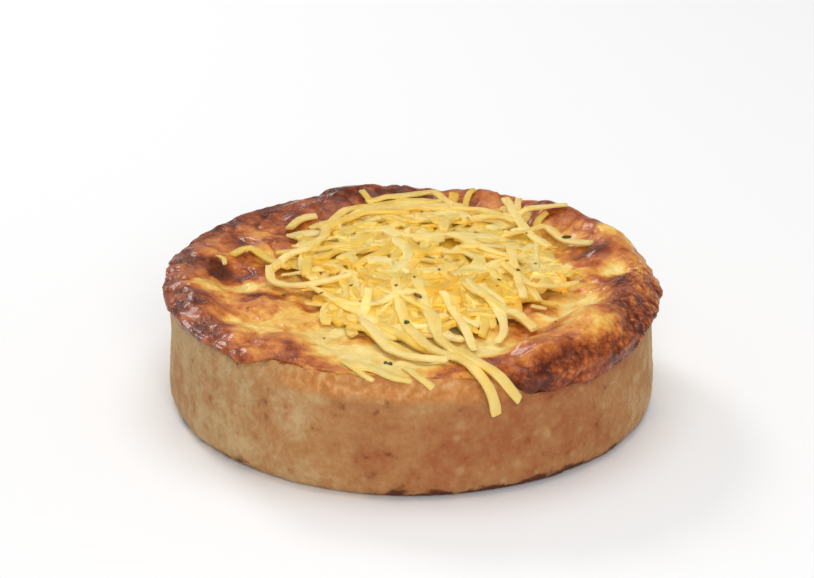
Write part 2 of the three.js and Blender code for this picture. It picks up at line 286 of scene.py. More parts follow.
def shoulder_drop(angle):
    return 1 + 2.8 * span(angle, -118, -70, 22) + 0.25 * wander(angle, 11, 17)


def wall_wander(angle):
    return 0.35 * wander(angle, 2, 3, 5) + 0.12 * wander(angle, 13, 19)


def coverage(angle):
    """1 where the custard hangs over the rim, 0 at the front where it stops on top of it."""
    return 1 - span(angle, -124, -70, 8)


def drip_length(angle):
    long = LONG_DRIP * span(angle, -64, -46, 28) * (1 + 0.25 * wander(angle, 9, 16, 27))
    return coverage(angle) * (DRIP + long + 0.55 * wander(angle, 7, 12, 21))


def cap_radius(angle):
    outside = CASE_RADIUS + wall_wander(angle) + GAP + OVERHANG + 0.3 * wander(angle, 6, 15, 23)
    return mix(CASE_RADIUS - WALL + LAP, outside, coverage(angle))


def edge_rise(angle):
    """How far the custard's edge stands over the rim: less at the front, where it runs out."""
    return mix(0.35, EDGE_RISE, coverage(angle))


def custard_top(x, y):
    """Height of the baked top at a place, with its edge rolled down to the rim."""
    radius, angle = np.hypot(x, y), np.arctan2(y, x)
    front = span(angle, -124, -74, 26)
    top = CUSTARD_LEVEL + 0.9 * (radius / RIDGE_RADIUS) ** 4
    low = 0.92 * span(angle, 134, 160, 13) - 0.45 * span(angle, 20, 108, 15)
    crest = RIDGE_HEIGHT * (1 - FRONT_DIP * front) * (1 - low) * (1 + 0.2 * wander(angle, 6, 11, 17))
    top = top + crest * bell((radius - RIDGE_RADIUS - 0.8 * wander(angle, 4, 9)) / RIDGE_WIDTH)
    for px, py, size, height in PUFFS:
        top = top + height * bell(np.hypot(x - px, y - py) / size)
    ripple = np.sin(0.62 * x + 1.1 * np.sin(0.33 * y)) * np.sin(0.71 * y + 0.9 * np.sin(0.29 * x))
    edge = np.clip((cap_radius(angle) - radius) / EDGE_ROLL, 0, 1)
    return mix(rim_height(angle) + edge_rise(angle), top + 0.28 * ripple, np.sin(edge * math.pi / 2))


def heap_reach(x, y):
    """0 at the middle of the heap of cheese and 1 at its foot."""
    across, along = (x - HEAP_CENTRE[0]) / HEAP_RADII[0], (y - HEAP_CENTRE[1]) / HEAP_RADII[1]
    return np.hypot(across, along) / (1 + 0.1 * wander(np.arctan2(along, across), 3, 5))


def heap_rise(x, y):
    return HEAP_HEIGHT * np.clip(1 - heap_reach(x, y) ** 2, 0, 1) ** 0.9


def linear(colour):
    """A hex sRGB colour as linear red, green, blue and alpha."""
    parts = [int(colour[i : i + 2], 16) / 255 for i in (1, 3, 5)]
    return (*(c / 12.92 if c <= 0.04045 else ((c + 0.055) / 1.055) ** 2.4 for c in parts), 1.0)


def add_node(tree, kind, inputs=None, stops=(), **settings):
    """Adds a node: its settings, its ramp's stops as (place, hex colour), and its inputs.

    An input is a plain value, a socket to link, or a node whose first output is linked."""
    node = tree.nodes.new(kind)
    for name, value in settings.items():
        setattr(node, name, value)
    for number, (place, colour) in enumerate(stops):
        elements = node.color_ramp.elements
        element = elements[number] if number < len(elements) else elements.new(1.0)
        element.position = place
        element.color = linear(colour)
    for key, value in (inputs or {}).items():
        source = value.outputs[0] if isinstance(value, bpy.types.Node) else value
        if isinstance(source, bpy.types.NodeSocket):
            tree.links.new(source, node.inputs[key])
        else:
            node.inputs[key].default_value = source
    return node


def start_material(name):
    """A material and its empty tree."""
    material = bpy.data.materials.new(name)
    material.use_nodes = True
    material.node_tree.nodes.clear()
    return material, material.node_tree


def end_material(tree, inputs, **settings):
    """Ends a tree with a principled shader. A value that is the same all over sits on its own socket."""
    shader = add_node(tree, "ShaderNodeBsdfPrincipled", inputs, **settings)
    add_node(tree, "ShaderNodeOutputMaterial", {"Surface": shader})


def add_object(name, data):
    """A new object at the origin, in the scene."""
    made = bpy.data.objects.new(name, data)
    bpy.context.scene.collection.objects.link(made)
    return made


def mesh_object(name, points, edges=(), faces=(), attributes=None):
    """An object from points in millimetres, with a number or vector on them for each name given."""
    mesh = bpy.data.meshes.new(name)
    mesh.from_pydata((np.asarray(points, float) * MM).tolist(), edges, faces)
    for key, values in (attributes or {}).items():
        kind, field = ("FLOAT", "value") if np.ndim(values) == 1 else ("FLOAT_VECTOR", "vector")
        layer = mesh.attributes.new(key, kind, "POINT")
        layer.data.foreach_set(field, np.asarray(values, np.float32).ravel())
    mesh.validate()
    mesh.update()
    return add_object(name, mesh)


def turned_mesh(name, make_rows, turns, shades, centre=(0, 0)):
    """A closed body turned about a vertical axis from rows of (radius, height) at even angles.

    The first and last rows are points on the axis. shades gives attributes from x, y, z arrays."""
    rows = make_rows(turns)
    angle = angles_round(turns)
    rings = [
        np.stack([centre[0] + r * np.cos(angle), centre[1] + r * np.sin(angle), z + 0 * angle], axis=1)
        for r, z in rows[1:-1]
    ]
    ends = [[(*centre, float(np.mean(rows[i][1])))] for i in (0, -1)]
    points = np.concatenate([ends[0], *rings, ends[1]])
    last = len(points) - 1
    here = np.arange(turns)
    after = (here + 1) % turns
    faces = [(0, 1 + b, 1 + a) for a, b in zip(here.tolist(), after.tolist())]
    for low in range(1, last - turns, turns):
        high = low + turns
        faces += np.stack([low + here, low + after, high + after, high + here], axis=1).tolist()
    top = last - turns
    faces += [(top + a, top + b, last) for a, b in zip(here.tolist(), after.tolist())]
    return mesh_object(name, points, faces=faces, attributes=shades(*points.T))


def new_geometry_tree(name, sizes):
    """An empty geometry tree with named inputs for its sizes, a material and a geometry in and out."""
    tree = bpy.data.node_groups.new(name, "GeometryNodeTree")
    tree.interface.new_socket("Geometry", in_out="INPUT", socket_type="NodeSocketGeometry")
    for key, value in sizes.items():
        kind = "NodeSocketInt" if isinstance(value, int) else "NodeSocketFloat"
        tree.interface.new_socket(key, in_out="INPUT", socket_type=kind).default_value = value
    tree.interface.new_socket("Material", in_out="INPUT", socket_type="NodeSocketMaterial")
    tree.interface.new_socket("Geometry", in_out="OUTPUT", socket_type="NodeSocketGeometry")
    return tree, add_node(tree, "NodeGroupInput").outputs


def end_tree(tree, geometry, material):
    """Ends a tree: everything smooth, real and of one material."""
    smoothed = add_node(tree, "GeometryNodeSetShadeSmooth", {0: geometry})
    real = add_node(tree, "GeometryNodeRealizeInstances", {0: smoothed})
    dressed = add_node(tree, "GeometryNodeSetMaterial", {"Geometry": real, "Material": material})
    add_node(tree, "NodeGroupOutput", {0: dressed})


def push_out(tree, geometry, reach):
    """Moves every point of a surface along its normal."""
    normal = add_node(tree, "GeometryNodeInputNormal")
    offset = add_node(tree, "ShaderNodeVectorMath", {0: normal, "Scale": reach}, operation="SCALE")
    return add_node(tree, "GeometryNodeSetPosition", {"Geometry": geometry, "Offset": offset})


def grow(piece, make_tree, sizes, material):
    """Runs a geometry tree on a piece and keeps the result as its plain mesh."""
    tree = make_tree(sizes)
    modifier = piece.modifiers.new(tree.name, "NODES")
    modifier.node_group = tree
    values = {**sizes, "Material": material}
    for item in tree.interface.items_tree:
        if item.in_out == "INPUT" and item.name in values:
            modifier[item.identifier] = values[item.name]
    evaluated = piece.evaluated_get(bpy.context.evaluated_depsgraph_get())
    made = bpy.data.meshes.new_from_object(evaluated)
    plain = piece.data
    piece.modifiers.remove(modifier)
    piece.data = made
    bpy.data.meshes.remove(plain)
    made.name = piece.name


def baked_relief_tree(sizes):
    """Moves a surface by lumps, creases, grain and pits, as far as its relief attribute lets it."""
    tree, given = new_geometry_tree("Baked relief", sizes)
    place = add_node(tree, "GeometryNodeInputPosition")
    rough, relief = (
        add_node(tree, "GeometryNodeInputNamedAttribute", {"Name": name}) for name in ("rough", "relief")
    )
    # Each is a noise from -0.5 to 0.5 with its own size, shift and detail
    forms = []
    for size, shift, detail in (
        ("Lump Size", 3.1, 3.0),
        ("Crease Size", 7.7, 2.0),
        ("Grain Size", 1.3, 4.0),
    ):
        moved = add_node(tree, "ShaderNodeVectorMath", {0: place, 1: (shift,) * 3})
        scale = add_node(tree, "ShaderNodeMath", {0: 1.0, 1: given[size]}, operation="DIVIDE")
        noise = add_node(tree, "ShaderNodeTexNoise", {"Vector": moved, "Scale": scale, "Detail": detail})
        forms.append(add_node(tree, "ShaderNodeMath", {0: noise, 1: 0.5}, operation="SUBTRACT"))
    lumps, ridges, grain = forms
    # Creases run where a noise passes zero, and pits lie in the middles of cells
    ridge = add_node(tree, "ShaderNodeMath", {0: ridges}, operation="ABSOLUTE")
    scale = add_node(tree, "ShaderNodeMath", {0: 1.0, 1: given["Pit Size"]}, operation="DIVIDE")
    cells = add_node(tree, "ShaderNodeTexVoronoi", {"Scale": scale})
    sunk = []
    for value, low, high in ((ridge, 0.0, 0.07), (cells, 0.1, 0.4)):
        inputs = {"Value": value, "From Min": low, "From Max": high, "To Min": 1.0, "To Max": 0.0}
        sunk.append(add_node(tree, "ShaderNodeMapRange", inputs, interpolation_type="SMOOTHSTEP"))
    crease, pit = sunk
    rough_grain = add_node(tree, "ShaderNodeMath", {0: grain, 1: rough}, operation="MULTIPLY")
    height = 0.0
    for form, size, factor in (
        (lumps, "Lump Height", 2.0),
        (crease, "Crease Depth", -1.0),
        (rough_grain, "Grain Height", 2.0),
        (pit, "Pit Depth", -1.0),
    ):
        part = add_node(tree, "ShaderNodeMath", {0: form, 1: factor}, operation="MULTIPLY")
        inputs = {0: part, 1: given[size], 2: height}
        height = add_node(tree, "ShaderNodeMath", inputs, operation="MULTIPLY_ADD")
    reach = add_node(tree, "ShaderNodeMath", {0: height, 1: relief}, operation="MULTIPLY")
    moved = push_out(tree, given["Geometry"], reach)
    # The crease mask is kept for the material, which paints the creases darker: painted shade
    inputs = {"Geometry": moved, "Name": "crease", "Value": crease}
    end_tree(tree, add_node(tree, "GeometryNodeStoreNamedAttribute", inputs), given["Material"])
    return tree


def shred_tree(sizes):
    """Turns middle lines into shreds: a soft-edged strip along each, turned to its facing attribute."""
    tree, given = new_geometry_tree("Grated shreds", sizes)
    facing, girth = (
        add_node(tree, "GeometryNodeInputNamedAttribute", {"Name": name}, data_type=kind)
        for name, kind in (("facing", "FLOAT_VECTOR"), ("girth", "FLOAT"))
    )
    lines = add_node(tree, "GeometryNodeMeshToCurve", {0: given["Geometry"]})
    curved = add_node(tree, "GeometryNodeCurveSplineType", {0: lines}, spline_type="CATMULL_ROM")
    fine = add_node(tree, "GeometryNodeSetSplineResolution", {0: curved, "Resolution": 2})
    turned = add_node(tree, "GeometryNodeSetCurveNormal", {"Curve": fine, "Normal": facing}, mode="FREE")
    inputs = {"Width": given["Thickness"], "Height": given["Width"]}
    strip = add_node(tree, "GeometryNodeCurvePrimitiveQuadrilateral", inputs, mode="RECTANGLE")
    inputs = {"Curve": strip, "Count": 2, "Radius": given["Edge Radius"], "Limit Radius": True}
    section = add_node(tree, "GeometryNodeFilletCurve", inputs, mode="POLY")
    inputs = {"Curve": turned, "Profile Curve": section, "Scale": girth, "Fill Caps": True}
    swept = add_node(tree, "GeometryNodeCurveToMesh", inputs)
    scale = add_node(tree, "ShaderNodeMath", {0: 1.0, 1: given["Ragged Size"]}, operation="DIVIDE")
    noise = add_node(tree, "ShaderNodeTexNoise", {"Scale": scale})
    centred = add_node(tree, "ShaderNodeMath", {0: noise, 1: 0.5}, operation="SUBTRACT")
    doubled = add_node(tree, "ShaderNodeMath", {0: centred, 1: 2.0}, operation="MULTIPLY")
    ragged = add_node(tree, "ShaderNodeMath", {0: doubled, 1: given["Ragged"]}, operation="MULTIPLY")
    end_tree(tree, push_out(tree, swept, ragged), given["Material"])
    return tree


def speck_tree(sizes):
    """Puts a flat uneven flake on each point, turned at random and as large as its speck attribute."""
    tree, given = new_geometry_tree("Specks", sizes)
    speck = add_node(tree, "GeometryNodeInputNamedAttribute", {"Name": "speck"})
    place = add_node(tree, "GeometryNodeInputPosition")
    ball = add_node(tree, "GeometryNodeMeshIcoSphere", {"Radius": 1.0, "Subdivisions": 2})
    dent = add_node(tree, "ShaderNodeTexNoise", {"Scale": 0.85})
    dented = add_node(tree, "ShaderNodeVectorMath", {0: place, "Scale": dent}, operation="SCALE")
    flake = add_node(tree, "GeometryNodeSetPosition", {"Geometry": ball, "Position": dented})
    # Tilted up to half a radian either way, and turned any way round
    inputs = {0: (-0.5, -0.5, 0.0), 1: (0.5, 0.5, 6.28), "Seed": given["Seed"]}
    turn = add_node(tree, "FunctionNodeRandomValue", inputs, data_type="FLOAT_VECTOR")
    flat = add_node(tree, "ShaderNodeCombineXYZ", {0: 1.0, 1: 0.7, 2: given["Flatness"]})
    scale = add_node(tree, "ShaderNodeVectorMath", {0: flat, "Scale": speck}, operation="SCALE")
    inputs = {"Points": given["Geometry"], "Instance": flake, "Rotation": turn, "Scale": scale}
    end_tree(tree, add_node(tree, "GeometryNodeInstanceOnPoints", inputs), given["Material"])
    return tree


def pastry_material(settings):
    """Shortcrust baked in a ring: dry and matt, tan where pale, caramel where hot metal browned it."""
    material, tree = start_material("shortcrust_pastry")
    place = add_node(tree, "ShaderNodeTexCoord").outputs["Object"]
    bake, scorch, shoulder = (
        add_node(tree, "ShaderNodeAttribute", attribute_name=name).outputs["Fac"]
        for name in ("bake", "scorch", "shoulder")
    )
    # Clouds 14 mm across, mottles of 4 mm, flour specks of 1.2 mm, torn flakes of 1.8 mm and crumb
    clouds, mottle, speckle, flakes, crumb = (
        add_node(tree, "ShaderNodeTexNoise", {"Vector": place, "Scale": 1 / size, "Detail": detail})
        for size, detail in ((0.014, 3.0), (0.004, 5.0), (0.0012, 3.0), (0.0018, 5.0), (0.0009, 4.0))
    )
    # Each noise adds its share, and the last term brings their middle back to nothing
    baked = bake
    for noise, share in ((clouds, 0.9), (mottle, 0.9), (speckle, 0.5), (1.0, -1.15)):
        inputs = {0: noise, 1: share, 2: baked}
        baked = add_node(tree, "ShaderNodeMath", inputs, operation="MULTIPLY_ADD")
    stops = [(0.1, settings.pale_hex), (0.45, settings.golden_hex), (0.95, settings.caramel_hex)]
    dough = add_node(tree, "ShaderNodeValToRGB", {"Fac": baked}, stops)
    # Pale spots about 2 mm across, where lumps of butter lay in the dough
    lumps = add_node(tree, "ShaderNodeTexVoronoi", {"Vector": place, "Scale": 1 / 0.005})
    spread = add_node(tree, "ShaderNodeMath", {0: mottle, 1: 0.3, 2: lumps}, operation="MULTIPLY_ADD")
    inputs = {"Value": spread, "From Min": 0.2, "From Max": 0.42, "To Min": 0.35, "To Max": 0.0}
    butter = add_node(tree, "ShaderNodeMapRange", inputs, interpolation_type="SMOOTHSTEP")
    stops = [(0.34, settings.toasted_hex), (0.5, settings.shoulder_hex), (0.7, settings.flake_hex)]
    broken = add_node(tree, "ShaderNodeValToRGB", {"Fac": flakes}, stops)
    # Both the torn shoulder and the scorched foot end in a ragged line
    uneven = add_node(tree, "ShaderNodeMath", {0: mottle, 1: 1.2, 2: 0.4}, operation="MULTIPLY_ADD")
    torn = add_node(tree, "ShaderNodeMath", {0: uneven, 1: shoulder}, operation="MULTIPLY")
    burnt = add_node(tree, "ShaderNodeMath", {0: mottle, 1: 2.2, 2: scorch}, operation="MULTIPLY_ADD")
    foot = add_node(tree, "ShaderNodeMapRange", {"Value": burnt, "From Min": 1.42, "From Max": 1.75})
    colour = dough
    pale, scorched = linear(settings.pale_hex), linear(settings.scorched_hex)
    for share, other in ((butter, pale), (torn, broken), (foot, scorched)):
        inputs = {0: share, 6: colour, 7: other}
        colour = add_node(tree, "ShaderNodeMix", inputs, data_type="RGBA").outputs[2]
    rough = add_node(tree, "ShaderNodeMapRange", {"Value": mottle, "To Min": 0.58, "To Max": 0.86})
    grain = add_node(tree, "ShaderNodeMath", {0: mottle, 1: 2.0, 2: crumb}, operation="MULTIPLY_ADD")
    bump = add_node(tree, "ShaderNodeBump", {"Strength": 0.9, "Distance": 0.0005, "Height": grain})
    inputs = {"Base Color": colour, "Roughness": rough, "Normal": bump, "Specular IOR Level": 0.3}
    end_material(tree, {**inputs, "Subsurface Weight": 0.08, "Subsurface Scale": 0.002})
    return material


def custard_material(settings):
    """Baked egg custard with melted cheese: cream where low, brown and oily where it puffed up."""
    material, tree = start_material("baked_custard")
    place = add_node(tree, "ShaderNodeTexCoord").outputs["Object"]
    browning, crease, rough_skin = (
        add_node(tree, "ShaderNodeAttribute", attribute_name=name).outputs["Fac"]
        for name in ("browning", "crease", "rough")
    )
    # Browning is patchy at 7 mm, mottled at 2.5 mm and freckled at 0.9 mm
    patches, mottle, freckles = (
        add_node(
            tree,
            "ShaderNodeTexNoise",
            {"Vector": place, "Scale": 1 / size, "Detail": detail, "Distortion": distortion},
        )
        for size, detail, distortion in ((0.007, 4.0, 0.6), (0.0025, 4.0, 0.0), (0.0009, 2.0, 0.0))
    )
    # Bubbles of about 1.4 mm in the crusty skin, pale on top and dark between: painted light and shade
    # on the bubbles
    inputs = {0: 0.0016, 4: place, 5: patches.outputs["Color"]}
    bent = add_node(tree, "ShaderNodeMix", inputs, data_type="VECTOR").outputs[1]
    inputs = {"Vector": bent, "Scale": 1 / 0.0014, "Detail": 1.5}
    bubbles = add_node(tree, "ShaderNodeTexVoronoi", inputs)
    bubble_shade = add_node(tree, "ShaderNodeMath", {0: bubbles, 1: 1.0, 2: -0.52}, operation="MULTIPLY_ADD")
    crusty = add_node(tree, "ShaderNodeMath", {0: bubble_shade, 1: rough_skin}, operation="MULTIPLY")
    # Each adds its share, and the last term brings the middle of the noises back to nothing
    toast = browning
    for value, share in (
        (patches, 0.6),
        (mottle, 0.45),
        (freckles, 0.18),
        # Darker in the creases: painted shade
        (crease, 0.12),
        # Darker between the bubbles of the crusty skin and paler on their tops: painted shade and light
        (crusty, 0.22),
        (1.0, -0.615),
    ):
        inputs = {0: value, 1: share, 2: toast}
        toast = add_node(tree, "ShaderNodeMath", inputs, operation="MULTIPLY_ADD")
    stops = [
        (0.0, settings.cream_hex),
        (0.2, settings.yellow_hex),
        (0.36, settings.amber_hex),
        (0.52, settings.orange_hex),
        (0.68, settings.russet_hex),
        (0.84, settings.brown_hex),
        (1.0, settings.burnt_hex),
    ]
    skin = add_node(tree, "ShaderNodeValToRGB", {"Fac": toast}, stops)
    skin.color_ramp.interpolation = "B_SPLINE"
    spotty = add_node(tree, "ShaderNodeMath", {0: freckles, 1: 0.4, 2: toast}, operation="MULTIPLY_ADD")
    rough = add_node(tree, "ShaderNodeMapRange", {"Value": spotty, "To Min": 0.5, "To Max": 0.26})
    # Blistered skin over a fine wrinkle of 0.9 mm
    blister = add_node(tree, "ShaderNodeMath", {0: bubbles, 1: rough_skin}, operation="MULTIPLY")
    height = freckles
    for value, share in ((blister, -1.2), (mottle, 1.2)):
        inputs = {0: value, 1: share, 2: height}
        height = add_node(tree, "ShaderNodeMath", inputs, operation="MULTIPLY_ADD")
    bump = add_node(tree, "ShaderNodeBump", {"Strength": 0.6, "Distance": 0.0004, "Height": height})
    inputs = {
        "Base Color": skin,
        "Roughness": rough,
        "Normal": bump,
        "Specular IOR Level": 0.2,
        "Subsurface Weight": 0.1,
        "Subsurface Scale": 0.003,
        "Subsurface Radius": (1.0, 0.55, 0.25),
        "Coat Weight": 0.25,
        "Coat Roughness": 0.06,
    }
    end_material(tree, inputs)
    return material


def cheese_material(settings, name, paler):
    """Grated hard cheese: pale yellow, waxy and a little see-through, so that it deepens in the heap.
    Its deep gold is also painted shade, as in the gaps between shreds.
    """
    material, tree = start_material(name)
    place = add_node(tree, "ShaderNodeTexCoord").outputs["Object"]
    tone_and_shade = add_node(tree, "ShaderNodeAttribute", attribute_name="tone_and_shade").outputs["Fac"]
    # Cloudy at 5 mm, and torn on its cut faces in a grain of 0.7 mm
    cloud, grain = (
        add_node(tree, "ShaderNodeTexNoise", {"Vector": place, "Scale": 1 / size, "Detail": detail})
        for size, detail in ((0.005, 2.0), (0.0007, 3.0))
    )
    # The tone attribute is partly random and partly painted light and shade: pale for shreds on top,
    # deep gold for the core and buried shreds, which show in the gaps
    cloudy = add_node(tree, "ShaderNodeMath", {0: cloud, 1: 0.6, 2: tone_and_shade}, operation="MULTIPLY_ADD")
    shifted = add_node(tree, "ShaderNodeMath", {0: cloudy, 1: paler - 0.3})
    stops = [(0.0, settings.deep_shade_hex), (0.5, settings.body_hex), (1.0, settings.light_hex)]
    body = add_node(tree, "ShaderNodeValToRGB", {"Fac": shifted}, stops)
    rough = add_node(tree, "ShaderNodeMapRange", {"Value": grain, "To Min": 0.34, "To Max": 0.58})
    bump = add_node(tree, "ShaderNodeBump", {"Strength": 0.4, "Distance": 0.00025, "Height": grain})
    inputs = {
        "Base Color": body,
        "Roughness": rough,
        "Normal": bump,
        "Subsurface Weight": 0.9,
        "Subsurface Scale": 0.003,
        "Subsurface Radius": (1.0, 0.85, 0.6),
        "Coat Weight": 0.05,
        "Coat Roughness": 0.3,
    }
    end_material(tree, inputs, subsurface_method="BURLEY")
    return material


def speck_material(name, dark, light, roughness):
    """Ground pepper or dried herb: dry, dull and broken, with paler edges."""
    material, tree = start_material(name)
    place = add_node(tree, "ShaderNodeTexCoord").outputs["Object"]
    noise = add_node(tree, "ShaderNodeTexNoise", {"Vector": place, "Scale": 1 / 0.0006, "Detail": 2.0})
    colour = add_node(tree, "ShaderNodeValToRGB", {"Fac": noise}, [(0.35, dark), (0.7, light)])
    bump = add_node(tree, "ShaderNodeBump", {"Strength": 0.5, "Distance": 0.0002, "Height": noise})
    end_material(tree, {"Base Color": colour, "Roughness": roughness, "Normal": bump})
    return material


def case_rows(turns):
    """Rows of radius and height of the pastry case, from the middle of its base to that of its floor."""
    angle = angles_round(turns)
    rim, drop, out = rim_height(angle), shoulder_drop(angle), wall_wander(angle)
    crumble = 0.35 * wander(angle, 16, 22, 29)
    # Radius and height of the outside, from the foot up to the broken shoulder and the rim
    outer = [
        (FOOT_RADIUS, 0),
        (CASE_RADIUS - 1.5, 0.9 + 0.5 * crumble),
        (CASE_RADIUS - 0.4, 2.6),
        (CASE_RADIUS + 0.1 + 0.5 * crumble, 5.4),
        (CASE_RADIUS, 10),
        (CASE_RADIUS - 0.3, 15),
        (CASE_RADIUS - 0.5, 20),
        (CASE_RADIUS - 0.4, rim - drop - 2),
        (CASE_RADIUS - 0.8, rim - drop - 0.6),
        (CASE_RADIUS - 1.8, rim - 0.55 * drop),
        (CASE_RADIUS - 3, rim),
    ]
    wall = evenly([np.broadcast_arrays(r + out, z) for r, z in outer], WALL_STEP)
    wall[:, 1] = np.maximum(wall[:, 1], 0)
    inner = CASE_RADIUS - WALL
    base = [(share * (FOOT_RADIUS + out), 0) for share in (0.4, 0.8, 0.96)]
    return [(0, 0), *base, *wall, (inner, rim - 0.2), (inner, FLOOR), (0, FLOOR)]


def case_shades(x, y, z):
    """How each point of the pastry case is baked, and how rough it is."""
    radius, angle = np.hypot(x, y), np.arctan2(y, x)
    rim = rim_height(angle)
    outside = smooth(radius, CASE_RADIUS - 4.4, CASE_RADIUS - 3) * smooth(z, 0.0, 1.2)
    # Palest at the left, browner at the front right, with bands at half height and under the rim
    bake = 0.45 - 0.25 * span(angle, -190, -135, 35) + 0.22 * span(angle, -85, -40, 30)
    bake -= 0.26 * span(angle, -22, 60, 20)
    bake += 0.12 * bell((z - 13) / 7) + 0.18 * bell((z - 23) / 4) * span(angle, -60, 40, 20)
    foot = 2.4 + 0.8 * wander(angle, 9, 17, 29)
    scorch = 0.35 + 0.55 * span(angle, -80, -10, 25) + 0.25 * wander(angle, 4, 7, 11, 23)
    shoulder = smooth(z, rim - shoulder_drop(angle) - 2.2, rim - shoulder_drop(angle) + 0.8)
    rough = 0.5 + 1.6 * bell(z / 2.5) + 2.2 * shoulder
    torn = shoulder * outside * (0.35 + 0.65 * span(angle, -112, -70, 14))
    shades = {"relief": outside, "rough": rough, "bake": bake, "scorch": bell(z / foot) * scorch}
    return {**shades, "shoulder": torn}


def custard_rows(turns):
    """Rows of radius and height of the custard, from the middle of its underside to that of its top."""
    angle = angles_round(turns)
    rim, cover, cap = rim_height(angle), coverage(angle), cap_radius(angle)
    inner = CASE_RADIUS - WALL - GAP
    under = mix(CASE_RADIUS - WALL + LAP - 0.8, CASE_RADIUS + wall_wander(angle) + GAP, cover)
    lip = rim + GAP + 0.08 * (1 - cover) - drip_length(angle)
    lip += 0.35 * cover * wander(angle, 33, 47, 61) - 0.7 * (1 - cover)
    shoulder = rim + edge_rise(angle)
    cap = cap - 0.45 * (1 - cover) * (1 + wander(angle, 19, 31, 53))
    # Where it hangs, the lip is at least 0.4 mm thick and round at its lowest
    under = np.minimum(under, cap - 0.4)
    thick = (cap - under) / 2
    rows = [(0, FLOOR + GAP), (inner, FLOOR + GAP), (inner, rim + GAP), (under, rim + GAP)]
    behind = under + 0.02 * (cap - under)
    rows += [(behind, mix(rim + GAP, lip + thick, share)) for share in (0.35, 0.7, 1)]
    for turn in np.linspace(-0.8, 0, 5) * math.pi / 2:
        rows.append((under + thick * (1 + math.cos(turn)), lip + thick * (1 + math.sin(turn))))
    for share in np.linspace(0.12, 1, 9):
        rows.append((cap, mix(lip + thick, shoulder - 0.4, share)))
    radius = cap - 0.15
    while radius[0] > 1:
        rounded = 0.5 * bell((cap - radius) / 0.5)
        least = mix(CUSTARD_LEVEL - POOL_DEPTH, shoulder, smooth(radius, *SINKING_STOPS))
        top = np.maximum(custard_top(radius * np.cos(angle), radius * np.sin(angle)), least)
        rows.append((radius, top - rounded * edge_rise(angle)))
        step = np.where(radius > HIDDEN_RADIUS, FINE_STEP, COARSE_STEP)
        radius = radius - step.mean() * (cap / cap.mean())
    rows.append((0, custard_top(np.zeros(1), np.zeros(1))))
    return rows


def custard_shades(x, y, z):
    """How brown, how rough and how lively each point of the custard is."""
    radius, angle = np.hypot(x, y), np.arctan2(y, x)
    front = span(angle, -122, -76, 22)
    plane = np.stack([x, y], axis=1)
    # Pale in the middle, brown at the edge, and browner still where it hangs over the rim
    edge = np.interp(np.degrees(angle), np.linspace(-180, 180, len(EDGE_BROWNING)), EDGE_BROWNING)
    browning = mix(0.24 - 0.16 * front, edge, smooth(radius, mix(37, 44, front), mix(50, 53, front)))
    browning += 0.12 * (1 - front) * (1 - span(angle, 0, 40, 20)) * smooth(radius, 53, 57)
    browning += 0.08 * span(angle, -68, -2, 8) * smooth(radius, 56, 58)
    # The higher a place stands over the even top, the browner it is
    ridge = RIDGE_HEIGHT * (1 - FRONT_DIP * front) * bell((radius - RIDGE_RADIUS) / RIDGE_WIDTH)
    browning += 0.045 * np.clip(z - CUSTARD_LEVEL - 0.6 - ridge, -2, 3) * (radius < 54)
    warp = [
        1.6 * lattice_noise(plane, 4.5, seed) + 0.6 * lattice_noise(plane, 1.7, seed) for seed in (3, 4)
    ]
    for px, py, size, amount in BROWNED:
        browning += amount * bell(np.hypot(x + warp[0] - px, y + warp[1] - py) / size)
    browning += 0.05 * lattice_noise(plane, 9, 1) + 0.05 * lattice_noise(plane, 4, 2)
    below = smooth(rim_height(angle) - z, -0.5, 2.5) * (radius > CASE_RADIUS - 1)
    # The skin is crusty at the right, and along the lip at the front right
    crusty = span(angle, -24, 2, 9) * smooth(radius, 44, 50)
    crusty += 0.6 * span(angle, -75, -26, 6) * smooth(radius, 55, 57.5)
    crusty *= smooth(lattice_noise(plane, 6, 8), -0.9, 0.1)
    rough = 0.25 + 1.6 * crusty + 0.25 * smooth(radius, 50, 56)
    # Nothing moves where the custard lies on the pastry, or deep under the cheese
    relief = smooth(z, FLOOR + 3, FLOOR + 6) * smooth(radius, 18, 26) * (1 - 0.6 * front)
    inside = (radius < CASE_RADIUS - WALL + 0.5) & (z < rim_height(angle) + GAP + 0.05) & (radius > 50)
    browning = np.clip(browning + 0.06 * below, 0, 1)
    return {"relief": np.where(inside, 0, relief), "rough": rough, "browning": browning}


def core_rows(turns):
    """Rows of the heap's own core, under the loose shreds."""
    angle = angles_round(turns)
    edge = 0.86 * (1 + 0.08 * wander(angle, 3, 5))
    reach = np.hypot(np.cos(angle) / HEAP_RADII[0], np.sin(angle) / HEAP_RADII[1])
    rows = [(0, CUSTARD_LEVEL + GAP)]
    for share in (0.97, *np.linspace(1, 0.02, 46)):
        radius = share * edge / reach
        x, y = HEAP_CENTRE[0] + radius * np.cos(angle), HEAP_CENTRE[1] + radius * np.sin(angle)
        sunk = custard_top(x, y) - 1.5
        rows.append((radius, sunk if len(rows) == 1 else heap_floor(x, y)))
    x, y = np.array(HEAP_CENTRE, float).reshape(2, 1)
    rows.append((0, heap_floor(x, y)))
    return rows


def heap_floor(x, y):
    """What the first shreds lie on: the custard, and on it the core with lumps like pressed shreds."""
    lumps = lattice_noise(np.stack([np.ravel(x), np.ravel(y)], axis=1), 2.2, 5).reshape(np.shape(x))
    rise = heap_rise(x, y)
    return custard_top(x, y) + CORE_SHARE * rise + 0.35 * lumps * smooth(rise, 0.2, 2)


def heap_roof(x, y, late):
    """How high soft shreds lie before they sink in. late is 0 for the first shred and 1 for the last."""
    lumps = lattice_noise(np.stack([x, y], axis=1), 6, 9)
    rise = mix(0.64, 0.76, late) * heap_rise(x, y)
    return custard_top(x, y) + rise + mix(0.3, 1.3, late) + 0.4 * lumps


